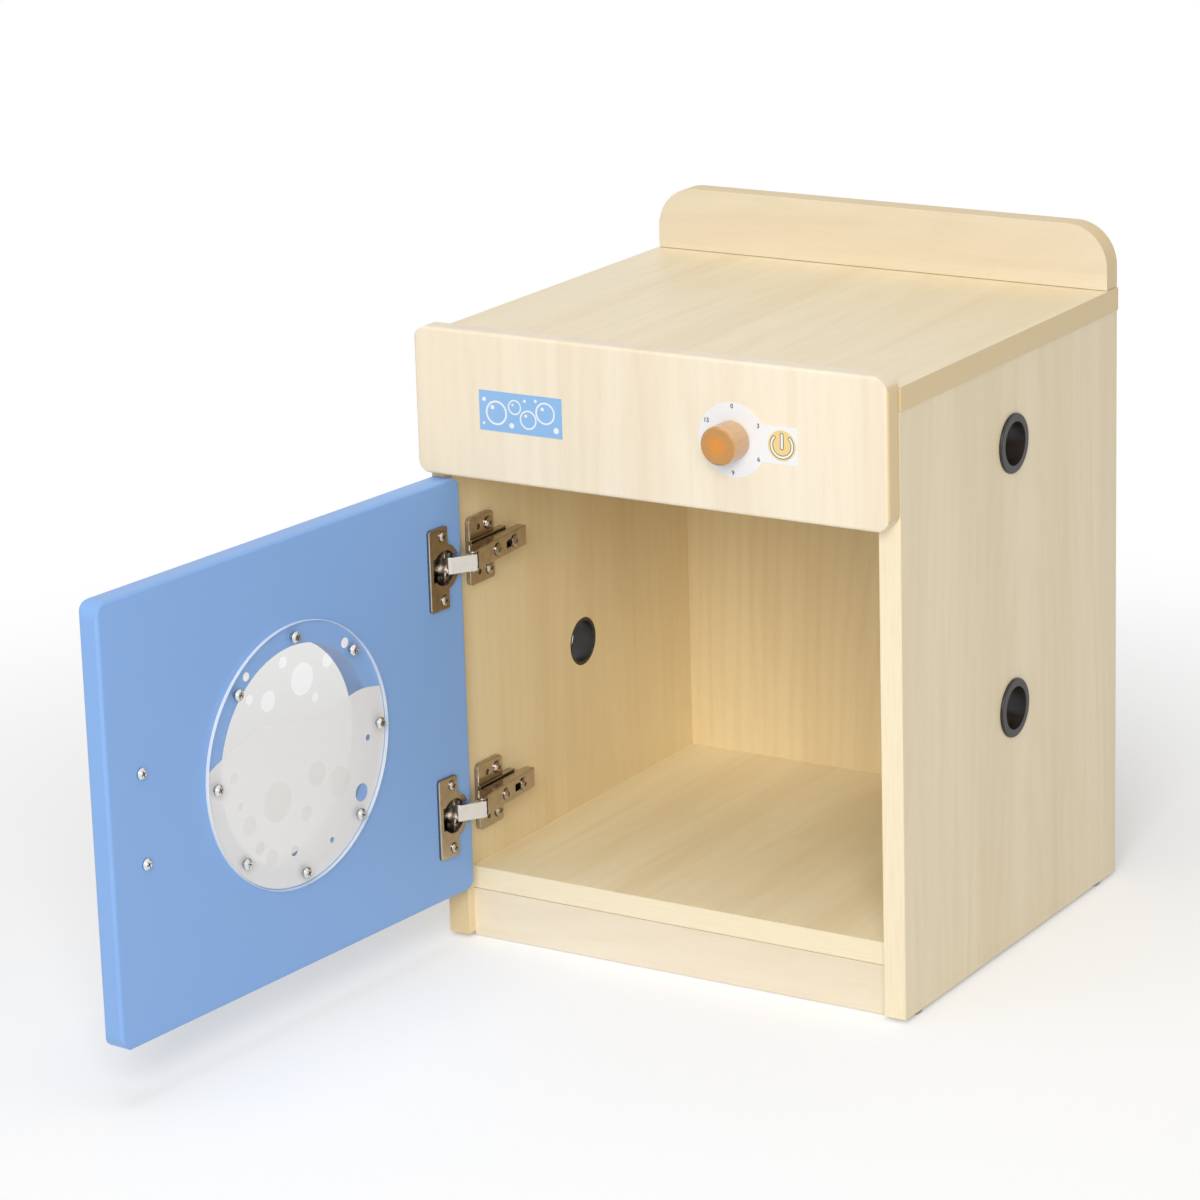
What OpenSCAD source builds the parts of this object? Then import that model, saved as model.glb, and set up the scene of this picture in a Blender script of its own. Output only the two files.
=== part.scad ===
// Toy washing machine cabinet with a hinged door, a turning programme knob and two linked cup hinges.
// Carcass frame: x from the left side's outer face, y from the side panels' front edges, z from the floor.
// The whole object is then moved so that the origin is the middle of its footprint with the door open.

/* [Boards] */
// Width over both side panels
carcass_w = 360; // [330:1:420]
// Depth of the side panels
carcass_d = 321; // [280:1:380]
// Height of the worktop's upper face above the floor
worktop_h = 432; // [410:1:480]
// Thickness of the laminated boards
board_t = 16; // [15:0.5:18]
// Height of the floor board's upper face
floor_h = 51.5; // [48:0.5:56]
// Hairline joint between the boards that meet on edge
joint_gap = 0.4; // [0.2:0.1:0.6]
// Set-back of the floor board and the plinth behind the side panels' front edges
front_setback = 8; // [4:0.5:12]
// Gap under the plinth
plinth_gap = 0.5; // [0.5:0.5:3]
// Overhang of the worktop past each side panel
worktop_overhang = 1; // [0:0.5:1.5]
// Drop of the front board's lower edge below the worktop's upper face
fascia_drop = 93; // [86:0.5:100]
// Rise of the front board above the worktop's upper face
fascia_rise = 9; // [4:0.5:14]
// Corner radius of the front board and the door
corner_r = 11; // [6:0.5:14]
// Rounding along the edges of the front board and the door
edge_r = 2.5; // [2:0.1:3]
// Height of the back rail above the worktop
rail_h = 45.5; // [35:0.5:60]
// Radius of the back rail's upper corners
rail_corner_r = 30; // [12:1:34]
// Thickness of the back panel
back_t = 8; // [6:0.5:9]
// Distance of the back panel from the side panels' rear edges
back_inset = 5; // [4:0.5:7]
// Depth of the grooves that hold the back panel
groove_depth = 6; // [4:0.5:8]

/* [Door] */
// Width of the door
door_w = 357; // [355:0.5:357]
// Gap between the closed door and the front board above it
door_head_gap = 3; // [2:0.5:6]
// Lower edge of the door above the floor
door_z = 40; // [39.5:0.1:40.5]
// Gap between the closed door and the side panels' front edges
door_gap = 2; // [1.9:0.05:2.2]
// Distance of the closed door's hinge edge from the left side's outer face
door_reveal = 1.5; // [1.3:0.1:1.7]
// Opening angle at rest
open_angle = 95; // [94:0.5:96]
// Diameter of the window pane
pane_d = 180; // [160:1:190]
// Thickness of the window pane
pane_t = 3; // [2:0.5:4]
// Diameter of the window opening in the door
window_d = 149; // [130:1:152]
// Diameter of the circle of window screws
window_screw_pcd = 162; // [158:0.5:164]
// Number of window screws
window_screw_count = 8; // [4:1:12]
// Diameter of the window screws' shank
window_screw_d = 4; // [3:0.5:4]
// Distance between the two handle screws
handle_pitch = 60; // [50:1:70]
// Distance of the handle from the door's free edge
handle_edge = 31; // [24:0.5:36]
// Clear depth behind the handle's bar
handle_clear = 13; // [12:0.5:24]
// Diameter of the handle's bar
handle_bar_d = 10; // [8:0.5:14]

/* [Hinges] */
// Distance of each hinge from the middle of the door's height
hinge_offset = 88.5; // [70:0.5:95]
// Distance between a cup's two screws
cup_screw_pitch = 45; // [44:0.5:46]
// Distance between a mounting plate's two screws
plate_screw_pitch = 32; // [31.5:0.5:32.5]
// Distance of the mounting plate's screws from the side panel's front edge
plate_screw_y = 37; // [36:0.5:38]
// Bore for the hinge cup
cup_bore_d = 31; // [30.8:0.1:31.2]
// Depth of that bore
cup_depth = 11.5; // [11:0.1:12]
// Distance of the cup's centre from the door's hinge edge
cup_u = 22; // [21.9:0.05:22.1]
// Inner link's arm pin: distance from the left side's outer face
inner_arm_x = 27.583; // [27.5:0.001:27.7]
// Inner link's arm pin: distance behind the side panels' front edges
inner_arm_y = 3.937; // [3.9:0.001:4]
// Inner link's cup pin: distance from the door's hinge edge
inner_cup_u = 10.436; // [10.4:0.001:10.5]
// Inner link's cup pin: depth below the door's inner face
inner_cup_w = 3.041; // [3:0.001:3.1]
// Turn of the inner link between the closed door and the door at rest
inner_turn = 35.08; // [35:0.01:35.2]
// Outer link's arm pin: distance from the left side's outer face
outer_arm_x = 31.991; // [31.9:0.001:32]
// Outer link's arm pin: distance behind the side panels' front edges
outer_arm_y = -1.488; // [-1.5:0.001:-1.4]
// Outer link's cup stud: distance from the door's hinge edge
outer_cup_u = 15.427; // [15.4:0.001:15.5]
// Outer link's cup stud: depth below the door's inner face
outer_cup_w = 3.348; // [3.3:0.001:3.4]
// Length of the outer link between its arm pin and the cup stud
outer_len = 17.98; // [17.9:0.01:18]
// Direction of the outer link with the door closed
outer_dir_closed = -159.58; // [-160:0.01:-159]
// Turn of the outer link between the closed door and the door at rest
outer_turn = 34.78; // [34.6:0.01:35]
// Diameter of the link pins
pin_d = 2.4; // [2.2:0.1:2.5]

/* [Fittings] */
// Diameter of the holes in the side panels
side_hole_d = 35; // [33:0.5:36]
// Inner diameter of the hole rings
ring_id = 30; // [28:0.5:30.5]
// Diameter of the rings' flange
ring_flange_d = 41; // [39:0.5:44]
// Thickness of the rings' flange
ring_flange_t = 2; // [1.5:0.1:2.5]
// Distance of the ring holes behind the side panels' front edges
ring_y = 159.5; // [140:0.5:180]
// Drop of the upper ring hole below the worktop's upper face
ring_drop = 74; // [66:0.5:80]
// Height of the lower ring hole
ring_z_low = 173; // [150:0.5:200]
// Diameter of the glides
glide_d = 15; // [12:0.5:15.5]
// Height of the glides
glide_h = 3; // [2:0.5:5]
// Diameter of the knob
knob_d = 26; // [22:0.5:32]
// Length of the knob
knob_l = 19.5; // [16:0.5:28]
// Distance of the knob from the left side's outer face
knob_x = 246.5; // [220:0.5:270]
// Drop of the knob's axis below the worktop's upper face
knob_drop = 43.2; // [36:0.1:50]
// Diameter of the dial print
dial_d = 50; // [44:0.5:54]
// Length of the dial print's tab past the knob's axis
dial_tab_l = 48; // [44:0.5:54]
// Height of that tab
dial_tab_h = 25; // [20:0.5:28]
// Left edge of the drawer print
soap_x = 51.5; // [40:0.5:60]
// Drop of the drawer print's lower edge below the worktop's upper face
soap_drop = 57.6; // [52:0.1:64]
// Width of the drawer print
soap_w = 65; // [60:0.5:72]
// Height of the drawer print
soap_h = 27.5; // [24:0.5:30]
// Thickness of both prints
print_t = 0.2; // [0.1:0.05:0.3]
// Diameter of the dowels
dowel_d = 8; // [6:0.5:8.5]
// Length of the dowels
dowel_l = 30; // [28:0.5:32]

/* [Hidden] */
$fn = 64;
slack = 0.05;
seat = 0.3;
dowel_in_face = 11;
panel_z = glide_h;
worktop_z = worktop_h - board_t;
floor_z = floor_h - board_t;
fascia_z = worktop_h - fascia_drop;
fascia_top = worktop_h + fascia_rise;
door_h = fascia_z - door_head_gap - door_z;
ring_z_high = worktop_h - ring_drop;
knob_z = worktop_h - knob_drop;
soap_z = worktop_h - soap_drop;
back_y = carcass_d - back_inset - back_t;
cup_r = cup_bore_d / 2;
flange_t = 2.2;
rim_t = 1.5;
press_r = 0.7;
flange_u0 = 17.5;
flange_u1 = 37.5;
flange_half = 29;
rim_r = cup_r + 1;
cup_wall = 1;
mouth_r = 12.3;
lug_half = 8;
cup_pin_half = 8.6;
mouth_slot_u = 34;
mouth_slot_half = 8.2;
notch_half = 7;
notch_depth = 3.2;
inner_half = 4.3;
link_in = 4.7;
link_out = 5.8;
arm_in = 6.1;
arm_out = 7.2;
door_mid = door_z + door_h / 2;
hinge_z = [door_mid - hinge_offset, door_mid + hinge_offset];
inner_arm = [inner_arm_x, inner_arm_y];
outer_arm = [outer_arm_x, outer_arm_y];
function turned(v, a) = [v.x * cos(a) - v.y * sin(a), v.x * sin(a) + v.y * cos(a)];
// Inner link with the door closed, and its cup pin after the turn to rest
inner_closed = [door_reveal + inner_cup_u, -door_gap - inner_cup_w] - inner_arm;
inner_len = norm(inner_closed);
inner_cup = inner_arm + turned(inner_closed, inner_turn);
inner_dir = atan2(inner_arm.y - inner_cup.y, inner_arm.x - inner_cup.x);
outer_dir = outer_dir_closed + outer_turn + 180;
outer_cup = outer_arm - turned([outer_len, 0], outer_dir);
// Hinge edge of the door's inner face at rest
door_o = inner_cup - turned([inner_cup_u, -inner_cup_w], -open_angle);
handle_out = board_t + handle_clear + handle_bar_d;
// Footprint of the object with the door open
x_low = (door_o + turned([door_w - handle_edge, handle_bar_d / 2 - handle_out], -open_angle)).x
    - handle_bar_d / 2;
x_high = carcass_w + ring_flange_t;
y_low = (door_o + turned([door_w - edge_r, -edge_r], -open_angle)).y - edge_r;
mid = [(x_low + x_high) / 2, (y_low + carcass_d) / 2];

wood = [0.90, 0.82, 0.66];
wood_side = [0.84, 0.77, 0.62];
wood_inside = [0.80, 0.69, 0.50];
blue = [0.50, 0.64, 0.86];
nickel = [0.72, 0.68, 0.62];
dark = [0.13, 0.13, 0.14];
beech = [0.86, 0.70, 0.48];
white = [0.96, 0.96, 0.95];

module place() translate([-mid.x, -mid.y, 0]) children();

// Children are drawn on the closed door: x from the hinge edge, y = 0 the inner face, outer face at -board_t
module on_door() place() translate([door_o.x, door_o.y, 0]) rotate([0, 0, -open_angle]) children();

// Children are drawn along a link: x from its cup end to its arm pin, y towards the opening's middle
module on_link(cup_end, dir) for (h = hinge_z) place() translate([cup_end.x, cup_end.y, h])
    rotate([0, 0, dir]) mirror([0, 1, 0]) children();

module rounded(size, r) {
    translate([r, 0]) square([size.x - 2 * r, size.y]);
    translate([0, r]) square([size.x, size.y - 2 * r]);
    for (x = [r, size.x - r]) for (y = [r, size.y - r]) translate([x, y]) circle(r);
}

// Board standing in the xz plane from y = -board_t to 0, with round corners and rounded edges
module soft_board(w, h) intersection() {
    rotate([90, 0, 0]) linear_extrude(board_t) rounded([w, h], corner_r);
    translate([0, -board_t, 0]) linear_extrude(h) rounded([w, board_t], edge_r);
    rotate([90, 0, 90]) linear_extrude(w) translate([-board_t, 0]) rounded([board_t, h], edge_r);
}

// Pressed plate lying in the yz plane, x from 0 to t, its upper edges rounded by press_r
module soft_plate(w, h, t, r) intersection() {
    rotate([90, 0, 90]) linear_extrude(t) rounded([w, h], r);
    translate([-t, 0, 0]) linear_extrude(h) rounded([2 * t, w], press_r);
    translate([-t, w, 0]) rotate([90, 0, 0]) linear_extrude(w) rounded([2 * t, h], press_r);
}

// Cut for a rounded edge along z: the edge is at the origin, the solid lies towards -x and -y
module edge_cut(l, r) translate([-r, -r, 0]) difference() {
    cube([r + 1, r + 1, l]);
    translate([0, 0, -1]) cylinder(h = l + 2, r = r);
}

module along_x(l, d) rotate([0, 90, 0]) cylinder(h = l, d = d);
module along_y(l, d) rotate([-90, 0, 0]) cylinder(h = l, d = d);

// Pan or flat headed cross screw: the head's seat is at z = 0 and the shank points to -z
module screw(head_d, head_h, shank_d, shank_l) difference() {
    union() {
        cylinder(h = head_h * 0.45, d = head_d);
        translate([0, 0, head_h * 0.45]) cylinder(h = head_h * 0.55, d1 = head_d, d2 = head_d * 0.62);
        translate([0, 0, -shank_l]) cylinder(h = shank_l, d = shank_d);
        translate([0, 0, -shank_l - shank_d * 0.6]) cylinder(h = shank_d * 0.6, d1 = 0.4, d2 = shank_d);
    }
    for (a = [0, 90]) rotate([0, 0, a + 20])
        translate([-head_d * 0.26, -0.4, head_h * 0.35]) cube([head_d * 0.52, 0.8, head_h]);
}

// Dowel seats: each entry is a place and a direction, the face between the boards at dowel_in_face
side_ys = [60, 250];
worktop_ys = [40, 160, 280];
front_zs = [fascia_z + 21, worktop_h - board_t / 2];
rail_xs = [40, 180, 320];
module all_dowels(extra_d, extra_l) {
    e = extra_l;
    for (x = [0, 1]) {
        for (y = side_ys) translate([x == 0 ? board_t - dowel_in_face - e
            : carcass_w - board_t + dowel_in_face - dowel_l - e, y, floor_z + board_t / 2])
            along_x(dowel_l + 2 * e, dowel_d + extra_d);
        translate([x == 0 ? board_t - dowel_in_face - e : carcass_w - board_t + dowel_in_face - dowel_l - e,
            front_setback + board_t / 2, (plinth_gap + floor_z) / 2])
            along_x(dowel_l + 2 * e, dowel_d + extra_d);
        px = x == 0 ? board_t / 2 : carcass_w - board_t / 2;
        for (y = worktop_ys) translate([px, y, worktop_z + dowel_in_face - dowel_l - e])
            cylinder(h = dowel_l + 2 * e, d = dowel_d + extra_d);
        for (z = front_zs) translate([px, -dowel_in_face - e, z])
            along_y(dowel_l - 1 + 2 * e, dowel_d + extra_d);
    }
    for (x = rail_xs) translate([x, carcass_d - board_t / 2, worktop_h - dowel_in_face - e])
        cylinder(h = dowel_l + 2 * e, d = dowel_d + extra_d);
}

module dowels() color(beech) place() all_dowels(0, 0);
module dowel_holes() all_dowels(2 * slack, seat);

module side_panel_blank(inner_x) difference() {
    translate([inner_x == board_t ? 0 : inner_x, 0, panel_z])
        cube([board_t, carcass_d, worktop_z - joint_gap - panel_z]);
    gx = inner_x == board_t ? board_t - groove_depth : inner_x - 1;
    translate([gx, back_y - slack, floor_z - 1]) cube([groove_depth + 1, back_t + 2 * slack, worktop_z]);
    for (z = [ring_z_low, ring_z_high]) translate([inner_x == board_t ? -1 : inner_x - 1, ring_y, z])
        along_x(board_t + 2, side_hole_d);
    for (y = glide_ys) translate([inner_x == board_t ? board_t / 2 : inner_x + board_t / 2, y, panel_z - 1])
        cylinder(h = 13.5, d = 2 + 2 * slack);
    dowel_holes();
}

glide_ys = [22, carcass_d - 26];

module left_side_panel() color(wood_inside) place() difference() {
    side_panel_blank(board_t);
    for (h = hinge_z) for (s = [-0.5, 0.5])
        translate([board_t - 12.5, plate_screw_y, h + s * plate_screw_pitch]) along_x(20, 3.5 + 2 * slack);
}

module right_side_panel() color(wood_side) place() side_panel_blank(carcass_w - board_t);

module back_panel() color(wood_inside) place()
    translate([board_t - groove_depth + 0.2, back_y, floor_z])
        cube([carcass_w - 2 * board_t + 2 * groove_depth - 0.4, back_t, worktop_z - floor_z]);

module floor_board() color(wood_inside) place() difference() {
    translate([board_t, front_setback, floor_z])
        cube([carcass_w - 2 * board_t, back_y - front_setback, board_t]);
    dowel_holes();
}

module plinth() color(wood) place() difference() {
    translate([board_t, front_setback, plinth_gap])
        cube([carcass_w - 2 * board_t, board_t, floor_z - joint_gap - plinth_gap]);
    dowel_holes();
}

module worktop() color(wood_inside) place() difference() {
    translate([-worktop_overhang, 0, worktop_z]) cube([carcass_w + 2 * worktop_overhang, carcass_d, board_t]);
    dowel_holes();
}

module back_rail() color(wood) place() difference() {
    translate([0, carcass_d, worktop_h]) rotate([90, 0, 0]) linear_extrude(board_t) {
        square([carcass_w, rail_h - rail_corner_r]);
        translate([rail_corner_r, 0]) square([carcass_w - 2 * rail_corner_r, rail_h]);
        for (x = [rail_corner_r, carcass_w - rail_corner_r])
            translate([x, rail_h - rail_corner_r]) circle(rail_corner_r, $fn = 96);
    }
    translate([-1, carcass_d - board_t - 1, worktop_h - 60])
        cube([carcass_w + 2, board_t + 2, 60 + joint_gap]);
    dowel_holes();
}

module front_board() color(wood) place() difference() {
    translate([0, 0, fascia_z]) soft_board(carcass_w, fascia_top - fascia_z);
    translate([knob_x, -board_t - 1, knob_z]) along_y(board_t + 2, knob_shank + 2 * slack);
    dowel_holes();
}

// Flanged tube pressed into each side hole; the profile is turned about the hole's axis
module hole_ring() rotate_extrude() {
    translate([ring_id / 2, -board_t + 0.5]) square([side_hole_d / 2 - slack - ring_id / 2, board_t - 0.5]);
    translate([ring_id / 2, 0]) square([(ring_flange_d - ring_id) / 2 - 1, ring_flange_t]);
    translate([ring_id / 2, 0]) square([(ring_flange_d - ring_id) / 2, ring_flange_t - 1]);
    translate([ring_flange_d / 2 - 1, ring_flange_t - 1]) circle(1, $fn = 32);
}

module hole_rings() color(dark) place() for (z = [ring_z_low, ring_z_high]) {
    translate([0, ring_y, z]) rotate([0, -90, 0]) hole_ring();
    translate([carcass_w, ring_y, z]) rotate([0, 90, 0]) hole_ring();
}

module glides() color([0.6, 0.6, 0.6]) place()
    for (x = [board_t / 2, carcass_w - board_t / 2]) for (y = glide_ys) translate([x, y, 0]) {
        cylinder(h = 1, d1 = glide_d - 2, d2 = glide_d);
        translate([0, 0, 1]) cylinder(h = glide_h - 1, d = glide_d);
        translate([0, 0, glide_h]) cylinder(h = 12, d = 2);
    }

// Mounting plate: two wings on the panel and a raised body under the arm
wing_t = 3.4;
wing_y0 = 13.5;
wing_y1 = 44;
wing_half = 24;
plate_half = 5.8;
arm_front_x = 32.6;
arm_rear_x = 28.6;
arm_y0 = 4.5;
arm_y1 = 70;
arm_web_t = 1.3;
arm_screw_ys = [30.5, 54];
arm_slope = atan((arm_front_x - arm_rear_x) / (arm_y1 - arm_y0));
// Children are drawn on the arm's sloping web at a screw: z away from the side panel, square to the web
module at_arm_screw(y) translate([arm_front_x - (y - arm_y0) * tan(arm_slope), y, 0])
    rotate([0, 0, arm_slope]) rotate([0, 90, 0]) children();

module hinge_plates() color(nickel) for (h = hinge_z) place() translate([0, 0, h]) difference() {
    translate([board_t, 0, 0]) {
        translate([0, wing_y0, -wing_half]) soft_plate(wing_y1 - wing_y0, 2 * wing_half, wing_t, 4);
        translate([0, wing_y0 + 1.5, -plate_half]) cube([9.5, 48, 2 * plate_half]);
        translate([0, wing_y0 + 0.5, -9]) cube([4.6, 43, 18]);
    }
    for (s = [-0.5, 0.5]) {
        translate([board_t - 1, plate_screw_y, s * plate_screw_pitch]) along_x(wing_t + 2, 5);
        translate([board_t - 1, plate_screw_y - 12, s * plate_screw_pitch]) along_x(wing_t + 2, 4);
    }
    for (y = arm_screw_ys) at_arm_screw(y) translate([0, 0, -20]) cylinder(h = 20, d = 4 + 2 * slack);
}

module plate_screws() color(nickel) for (h = hinge_z) for (s = [-0.5, 0.5])
    place() translate([board_t + wing_t, plate_screw_y, h + s * plate_screw_pitch])
        rotate([0, 90, 0]) screw(8.5, 2.2, 3.5, 12);

// Channel shaped arm: the web slopes down to the rear, the cheeks carry both link pins in front
arm_ear = 2.5;
module cheek() {
    polygon([inner_arm + [-2.3, -1], [22, 8], [22, arm_y1], [arm_rear_x, arm_y1], [arm_front_x, arm_y0],
        outer_arm + [arm_ear, 0], outer_arm + [0, -arm_ear], outer_arm + [-2, -1.6]]);
    translate(inner_arm) circle(arm_ear);
    translate(outer_arm) circle(arm_ear);
}

module hinge_arms() color(nickel) for (h = hinge_z) place() translate([0, 0, h]) difference() {
    union() {
        for (s = [-arm_out, arm_in]) translate([0, 0, s]) linear_extrude(arm_out - arm_in) cheek();
        translate([0, 0, -arm_out]) linear_extrude(2 * arm_out)
            polygon([[arm_front_x - arm_web_t, arm_y0], [arm_rear_x - arm_web_t, arm_y1],
                [arm_rear_x, arm_y1], [arm_front_x, arm_y0]]);
    }
    for (p = [inner_arm, outer_arm]) translate([p.x, p.y, -20]) cylinder(h = 40, d = pin_d + 2 * slack);
    for (y = arm_screw_ys) at_arm_screw(y) translate([0, 0, -4]) cylinder(h = 6, d = 4.6);
    at_arm_screw(arm_screw_ys[1] - 7.5) translate([-2.8, -3.5, -4]) cube([5.6, 7, 6]);
    for (s = [0, 1]) mirror([0, 0, s]) at_arm_screw(arm_y0) translate([-arm_out, 0, 0])
        rotate([-90, 180, 0]) edge_cut(80, press_r);
}

module arm_screws() color(nickel) for (h = hinge_z) place() translate([0, 0, h])
    for (y = arm_screw_ys) at_arm_screw(y) screw(8.5, 1.8, 4, 9.6);

module arm_pins() color(nickel) for (h = hinge_z) for (p = [inner_arm, outer_arm])
    place() translate([p.x, p.y, h - arm_out - 0.2]) cylinder(h = 2 * arm_out + 0.4, d = pin_d);

module drawer_print() color([0.59, 0.75, 0.93]) place()
    translate([soap_x, -board_t - print_t, soap_z]) cube([soap_w, print_t, soap_h]);

module dial_print() color(white) place() translate([knob_x, -board_t, knob_z]) difference() {
    rotate([90, 0, 0]) linear_extrude(print_t) {
        circle(d = dial_d, $fn = 96);
        translate([0, -dial_tab_h / 2]) square([dial_tab_l, dial_tab_h]);
    }
    translate([0, -1, 0]) along_y(2, 4.6);
}

knob_gap = 0.5;
knob_shank = 4;
module knob() color(beech) place() translate([knob_x, -board_t - knob_gap, knob_z])
    rotate([90, 0, 0]) difference() {
    union() {
        cylinder(h = 1, d1 = knob_d - 1.5, d2 = knob_d);
        translate([0, 0, 1]) cylinder(h = knob_l - 2.5, d = knob_d);
        translate([0, 0, knob_l - 1.5]) cylinder(h = 1.5, d1 = knob_d, d2 = knob_d - 3);
    }
    translate([0, 0, -1]) cylinder(h = 14, d = knob_shank + 2 * slack);
}

module knob_washer() color(nickel) place() translate([knob_x, 0.1, knob_z]) difference() {
    along_y(1, 12);
    translate([0, -1, 0]) along_y(3, knob_shank + 2 * slack);
}

module knob_screw() color(nickel) place() translate([knob_x, 1.1, knob_z]) rotate([-90, 0, 0])
    screw(8, 2.6, knob_shank, board_t + knob_gap + 10);

module window_ring(d) for (i = [0 : window_screw_count - 1])
    translate([door_w / 2, 0, door_mid]) rotate([0, i * 360 / window_screw_count, 0])
        translate([0, 0, window_screw_pcd / 2]) rotate([90, 0, 0]) cylinder(h = 30, d = d, center = true);

module door_panel() color(blue) on_door() difference() {
    translate([0, 0, door_z]) soft_board(door_w, door_h);
    translate([door_w / 2, 1, door_mid]) rotate([90, 0, 0])
        cylinder(h = board_t + 2, d = window_d, $fn = 128);
    intersection() {
        window_ring(window_screw_d + 2 * slack);
        translate([0, -11, 0]) cube([door_w, 12, door_z + door_h]);
    }
    for (h = hinge_z) {
        translate([cup_u, 1, h]) rotate([90, 0, 0]) cylinder(h = cup_depth + 1, d = cup_bore_d);
        for (s = [-0.5, 0.5]) translate([cup_u + 1.5, 1, h + s * cup_screw_pitch])
            rotate([90, 0, 0]) cylinder(h = 13.6, d = 3.5 + 2 * slack);
    }
    for (s = [-0.5, 0.5]) translate([door_w - handle_edge, 1, door_mid + s * handle_pitch])
        rotate([90, 0, 0]) cylinder(h = board_t + 2, d = 4.4);
}

module window_pane() color([0.85, 0.9, 0.95, 0.4]) on_door() difference() {
    translate([door_w / 2, pane_t, door_mid]) rotate([90, 0, 0]) cylinder(h = pane_t, d = pane_d, $fn = 128);
    window_ring(window_screw_d + 0.4);
}

module window_screws() color(nickel) on_door() for (i = [0 : window_screw_count - 1])
    translate([door_w / 2, pane_t, door_mid]) rotate([0, i * 360 / window_screw_count, 0])
        translate([0, 0, window_screw_pcd / 2]) rotate([-90, 0, 0]) screw(8, 2.6, window_screw_d, 11);

// Drawn steel cup with its flange: the mouth, its slot and the notch let both links swing
module hinge_cups() color(nickel) on_door() for (h = hinge_z) translate([0, 0, h]) difference() {
    union() {
        translate([cup_u, 0, 0]) rotate([90, 0, 0]) difference() {
            cylinder(h = cup_depth - seat, d = cup_bore_d - 2 * slack);
            difference() {
                translate([0, 0, 0.6]) cylinder(h = cup_depth - seat - cup_wall - 0.6,
                    d = cup_bore_d - 2 * slack - 2 * cup_wall);
                for (s = [-1, 1]) translate([-14, s == 1 ? lug_half : -20, 0]) cube([11, 20 - lug_half, 7]);
            }
        }
        translate([flange_u1, 0, -flange_half]) rotate([0, 0, 90])
            soft_plate(flange_u1 - flange_u0, 2 * flange_half, flange_t, 2.5);
        translate([0, rim_t, 0]) rotate([90, 0, 0]) linear_extrude(rim_t) intersection() {
            translate([cup_u, 0]) circle(rim_r);
            translate([0, -30]) square([flange_u0 + 4, 60]);
        }
    }
    translate([cup_u, flange_t + 1, 0]) rotate([90, 0, 0]) cylinder(h = 4, r = mouth_r);
    translate([cup_u, -1.5, -mouth_slot_half]) cube([mouth_slot_u - cup_u, 6, 2 * mouth_slot_half]);
    translate([-1, -notch_depth, -notch_half]) cube([14, notch_depth + 6, 2 * notch_half]);
    for (s = [-0.5, 0.5]) translate([cup_u + 1.5, flange_t + 1, s * cup_screw_pitch])
        rotate([90, 0, 0]) cylinder(h = 4, d = 3.8);
    translate([inner_cup_u, -inner_cup_w, -20]) cylinder(h = 40, d = pin_d + 2 * slack);
    translate([outer_cup_u, -outer_cup_w, -20]) cylinder(h = 40, d = pin_d + 2 * slack);
}

module cup_screws() color(nickel) on_door() for (h = hinge_z) for (s = [-0.5, 0.5])
    translate([cup_u + 1.5, flange_t, h + s * cup_screw_pitch]) rotate([-90, 0, 0]) screw(7, 1.8, 3.5, 11);

module cup_pins() color(nickel) on_door() for (h = hinge_z)
    translate([inner_cup_u, -inner_cup_w, h - cup_pin_half]) cylinder(h = 2 * cup_pin_half, d = pin_d);

module cup_studs() color(nickel) on_door() for (h = hinge_z) for (s = [0, 1])
    translate([outer_cup_u, -outer_cup_w, h + (s == 0 ? -13.4 : link_in + 0.1)])
        cylinder(h = 13.3 - link_in, d = pin_d);

// Bow handle turned from one piece: a bar on two posts
module door_handle() color(beech) on_door() difference() {
    union() {
        translate([door_w - handle_edge, -board_t - handle_clear - handle_bar_d / 2,
            door_mid - handle_pitch / 2 - 12]) cylinder(h = handle_pitch + 24, d = handle_bar_d);
        for (s = [-0.5, 0.5]) translate([door_w - handle_edge, -board_t, door_mid + s * handle_pitch])
            rotate([90, 0, 0]) cylinder(h = handle_clear + handle_bar_d / 2, d = handle_bar_d);
    }
    for (s = [-0.5, 0.5]) translate([door_w - handle_edge, -board_t + 1, door_mid + s * handle_pitch])
        rotate([90, 0, 0]) cylinder(h = handle_clear + handle_bar_d / 2 - 1.5, d = 4 + 2 * slack);
}

module handle_screws() color(nickel) on_door() for (s = [-0.5, 0.5])
    translate([door_w - handle_edge, 0, door_mid + s * handle_pitch]) rotate([-90, 0, 0])
        screw(8, 2.6, 4, board_t + handle_clear - 5);

// Folded channel: its web faces the opening's middle, the cheeks straddle the inner link and end in a
// fork over the cup studs
module outer_links() color([0.92, 0.91, 0.89]) on_link(outer_cup, outer_dir) difference() {
    union() {
        for (s = [-link_out, link_in]) translate([0, 0, s]) linear_extrude(link_out - link_in) {
            polygon([[-1.6, 2.7], [-1.6, 3.4], [0.2, 4.4], [outer_len + 1.5, 4.2], [outer_len + 2.1, 0],
                [outer_len - 2, -0.8], [4.2, 0.2], [4.2, 2.7]]);
            translate([outer_len, 0]) circle(2.1);
        }
        translate([0, 0, -link_out]) linear_extrude(2 * link_out)
            polygon([[-1.6, 2.7], [-1.6, 3.4], [0.2, 4.4], [outer_len + 1.5, 4.2], [outer_len + 1.5, 3.1],
                [0.7, 3.3], [0.2, 2.7]]);
    }
    translate([outer_len, 0, -20]) cylinder(h = 40, d = pin_d + 2 * slack);
}

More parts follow.
